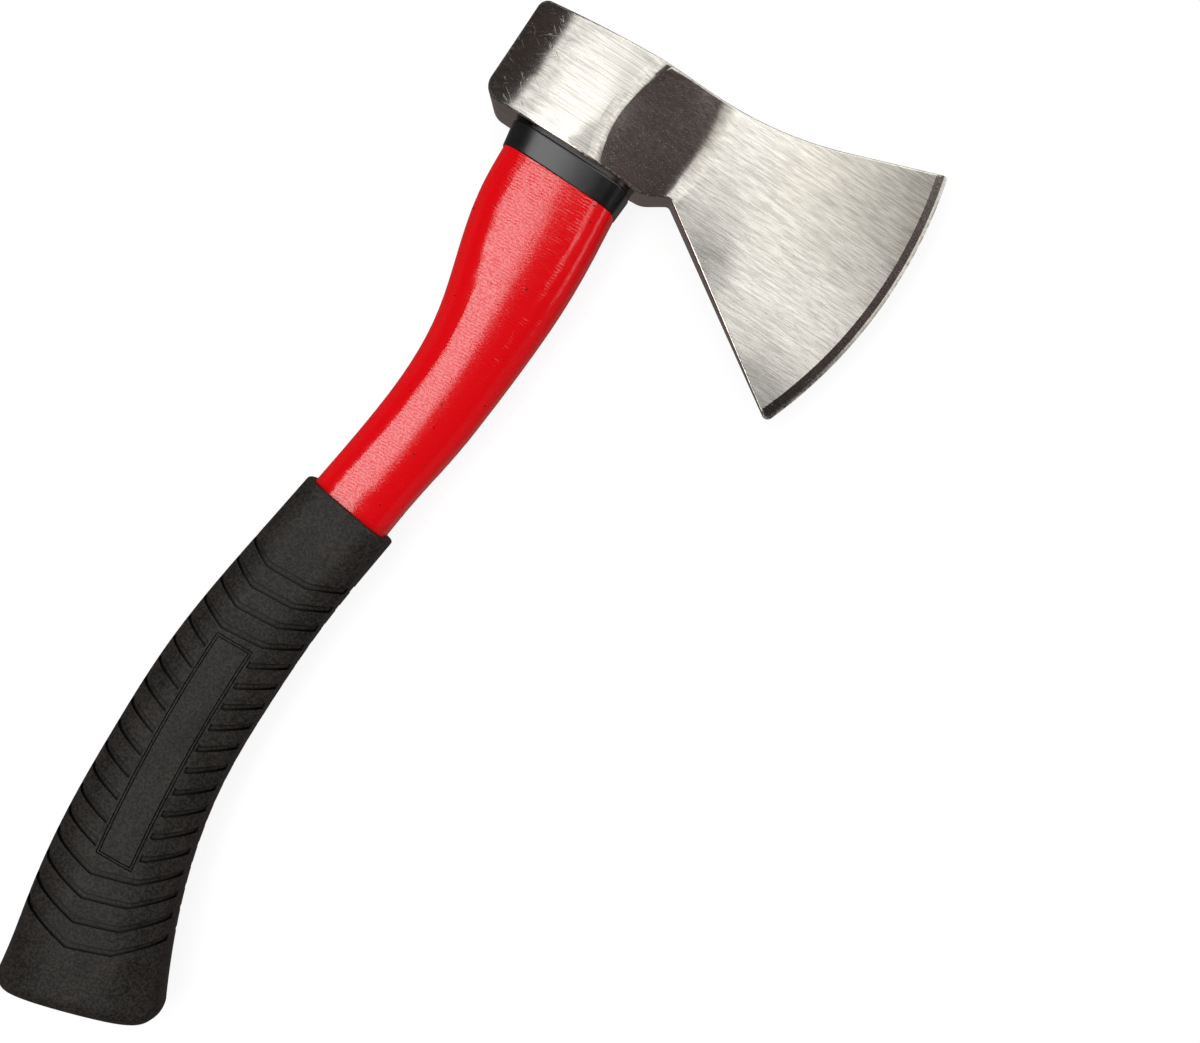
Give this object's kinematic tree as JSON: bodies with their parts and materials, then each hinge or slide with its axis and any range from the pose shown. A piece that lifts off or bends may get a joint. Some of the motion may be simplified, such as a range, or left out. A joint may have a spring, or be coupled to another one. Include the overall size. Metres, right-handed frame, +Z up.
{
  "type": "hatchet",
  "caption": "Hatchet with forged steel head, red fibreglass handle and black rubber grip, lying on its side.",
  "frame": {"origin": "middle of the bounding box in plan, at the level of the surface that it lies on", "axes": "+Z up through the hatchet's thickness, +Y along the eye from butt to head, +X towards the cutting edge"},
  "size_m": [0.1492, 0.3812, 0.0301],
  "materials": {
    "forged_steel": "ground and brushed",
    "red_fibreglass": "glossy, pigmented",
    "epoxy_resin": "dark, glossy",
    "collar_rubber": "semi-gloss",
    "grip_rubber": "matte, fine-grained"
  },
  "bodies": {
    "root": {"axe_head": "forged_steel", "fibreglass_handle": "red_fibreglass", "eye_epoxy": "epoxy_resin", "collar": "collar_rubber", "grip": "grip_rubber"}
  },
  "joints": []
}
